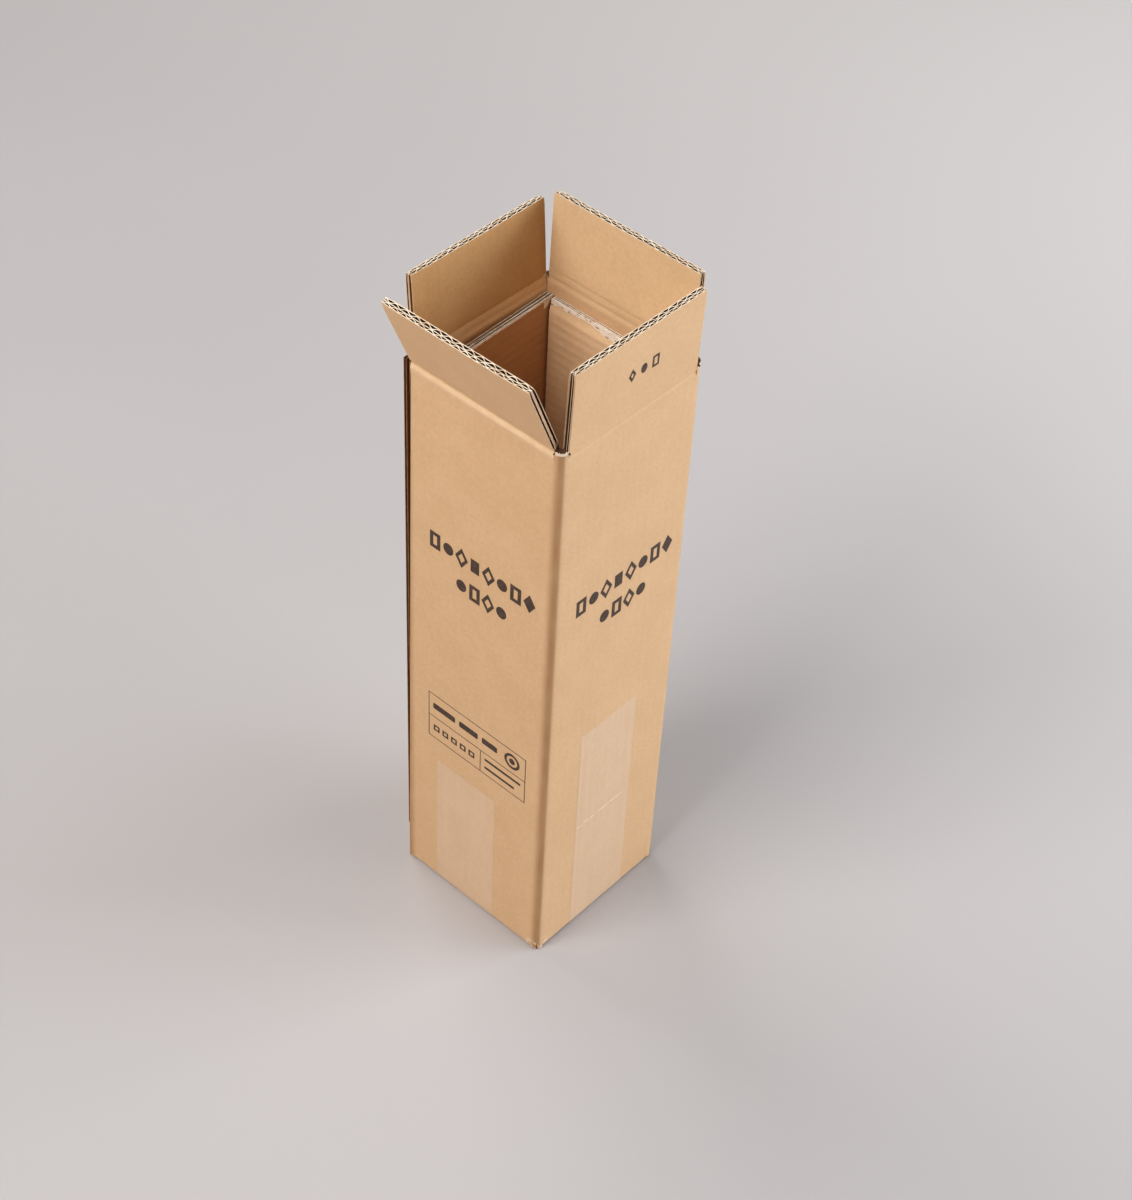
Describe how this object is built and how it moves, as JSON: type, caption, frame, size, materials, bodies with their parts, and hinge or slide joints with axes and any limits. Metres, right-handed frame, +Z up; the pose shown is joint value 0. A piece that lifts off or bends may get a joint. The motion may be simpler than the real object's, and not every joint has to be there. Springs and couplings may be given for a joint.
{
  "type": "bottle shipping box",
  "caption": "Tall square shipping carton for a bottle, of double-wall corrugated board, standing open with hinged top flaps, an inner sleeve and a taped bottom.",
  "frame": {"origin": "centre of the carton's plan on the surface that it stands on, at the underside of the tape below the bottom flaps", "axes": "+Z up along the carton, -Y out of the printed front face, +X out of the right face"},
  "size_m": [0.124, 0.1396, 0.4848],
  "materials": {
    "board": "matt brown kraft board",
    "sleeve_board": "matt brown kraft board",
    "tape": "clear packing tape, slightly glossy"
  },
  "bodies": {
    "carton": {"carton_body": "board", "inner_sleeve": "sleeve_board", "tape_front": "tape", "tape_side": "tape"},
    "front_flap": {"flap_front": "board"},
    "back_flap": {"flap_back": "board"},
    "left_flap": {"flap_left": "board"},
    "right_flap": {"flap_right": "board"}
  },
  "joints": [
    {"name": "front_crease", "type": "hinge", "parent": "carton", "child": "front_flap", "pos_m": [0, -0.057, 0.428], "axis": [1, 0, 0], "range_deg": [-113, 112]},
    {"name": "back_crease", "type": "hinge", "parent": "carton", "child": "back_flap", "pos_m": [0, 0.057, 0.428], "axis": [-1, 0, 0], "range_deg": [-91.5, 133.5]},
    {"name": "left_crease", "type": "hinge", "parent": "carton", "child": "left_flap", "pos_m": [-0.058, 0, 0.4225], "axis": [0, -1, 0], "range_deg": [-94, 131]},
    {"name": "right_crease", "type": "hinge", "parent": "carton", "child": "right_flap", "pos_m": [0.058, 0, 0.4225], "axis": [0, 1, 0], "range_deg": [-92, 133]}
  ]
}
